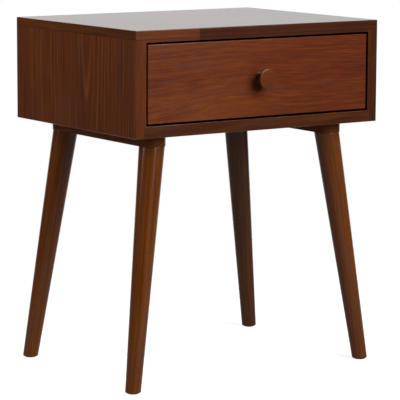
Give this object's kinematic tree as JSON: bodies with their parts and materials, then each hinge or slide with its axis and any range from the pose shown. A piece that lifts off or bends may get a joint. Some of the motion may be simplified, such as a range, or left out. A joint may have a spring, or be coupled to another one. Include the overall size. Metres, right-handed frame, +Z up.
{
  "type": "nightstand",
  "caption": "Wooden bedside table: an inset drawer on ball-bearing slides with a turned mushroom knob, in a flush-edged case on tapered, splayed legs held by rails.",
  "frame": {"origin": "on the floor, under the middle of the whole table's box, knob included", "axes": "+Z up, +X to the right of someone facing the drawer, -Y the front, the way the drawer opens"},
  "size_m": [0.5076, 0.408, 0.605],
  "materials": {
    "case_wood": "brown mahogany stain under satin lacquer",
    "drawer_front_wood": "brown mahogany stain under satin lacquer, grain across",
    "rail_wood": "brown mahogany stain under satin lacquer",
    "leg_wood": "turned solid wood, brown mahogany stain under satin lacquer",
    "knob_wood": "turned solid wood, satin lacquer",
    "drawer_box_wood": "pale solid wood, clear matt lacquer",
    "plywood": "thin plywood, unstained",
    "dowel_wood": "bare beech",
    "slide_steel": "bright zinc plated rolled steel",
    "cage_steel": "pressed steel strip",
    "ball_steel": "polished bearing steel",
    "screw_steel": "zinc plated screws",
    "zinc_steel": "zinc plated",
    "insert_brass": "turned brass",
    "glide_plastic": "brown nail-on glide",
    "buffer_rubber": "soft black rubber"
  },
  "bodies": {
    "case": {"top_panel": "case_wood", "left_side_panel": "case_wood", "right_side_panel": "case_wood", "bottom_panel": "case_wood", "back_panel": "plywood", "back_panel_screws": "screw_steel", "top_dowels": "dowel_wood", "bottom_dowels": "dowel_wood", "left_leg_rail": "rail_wood", "right_leg_rail": "rail_wood", "rail_screws": "screw_steel", "rail_inserts": "zinc_steel", "leg_hanger_bolts": "zinc_steel", "front_left_leg": "leg_wood", "front_right_leg": "leg_wood", "back_left_leg": "leg_wood", "back_right_leg": "leg_wood", "foot_glides": "glide_plastic", "left_slide_fixed_channel": "slide_steel", "right_slide_fixed_channel": "slide_steel", "slide_case_screws": "screw_steel"},
    "drawer": {"drawer_front": "drawer_front_wood", "drawer_box_front": "drawer_box_wood", "drawer_box_back": "drawer_box_wood", "drawer_left_side": "drawer_box_wood", "drawer_right_side": "drawer_box_wood", "drawer_bottom": "plywood", "drawer_dowels": "dowel_wood", "drawer_front_screws": "screw_steel", "drawer_buffers": "buffer_rubber", "drawer_knob": "knob_wood", "knob_insert": "insert_brass", "knob_screw": "screw_steel", "knob_washer": "zinc_steel", "left_slide_moving_channel": "slide_steel", "right_slide_moving_channel": "slide_steel", "slide_drawer_screws": "screw_steel"},
    "ball_cages": {"left_ball_cage": "cage_steel", "right_ball_cage": "cage_steel", "left_slide_balls": "ball_steel", "right_slide_balls": "ball_steel"}
  },
  "joints": [
    {"name": "drawer_slide", "type": "slide", "parent": "case", "child": "drawer", "axis": [0, -1, 0], "range_m": [0, 0.26]},
    {"name": "cage_slide", "type": "slide", "parent": "case", "child": "ball_cages", "axis": [0, -1, 0], "range_m": [0, 0.13]}
  ],
  "couplings": [
    {"joint": "cage_slide", "follows": "drawer_slide", "ratio": 0.5}
  ]
}
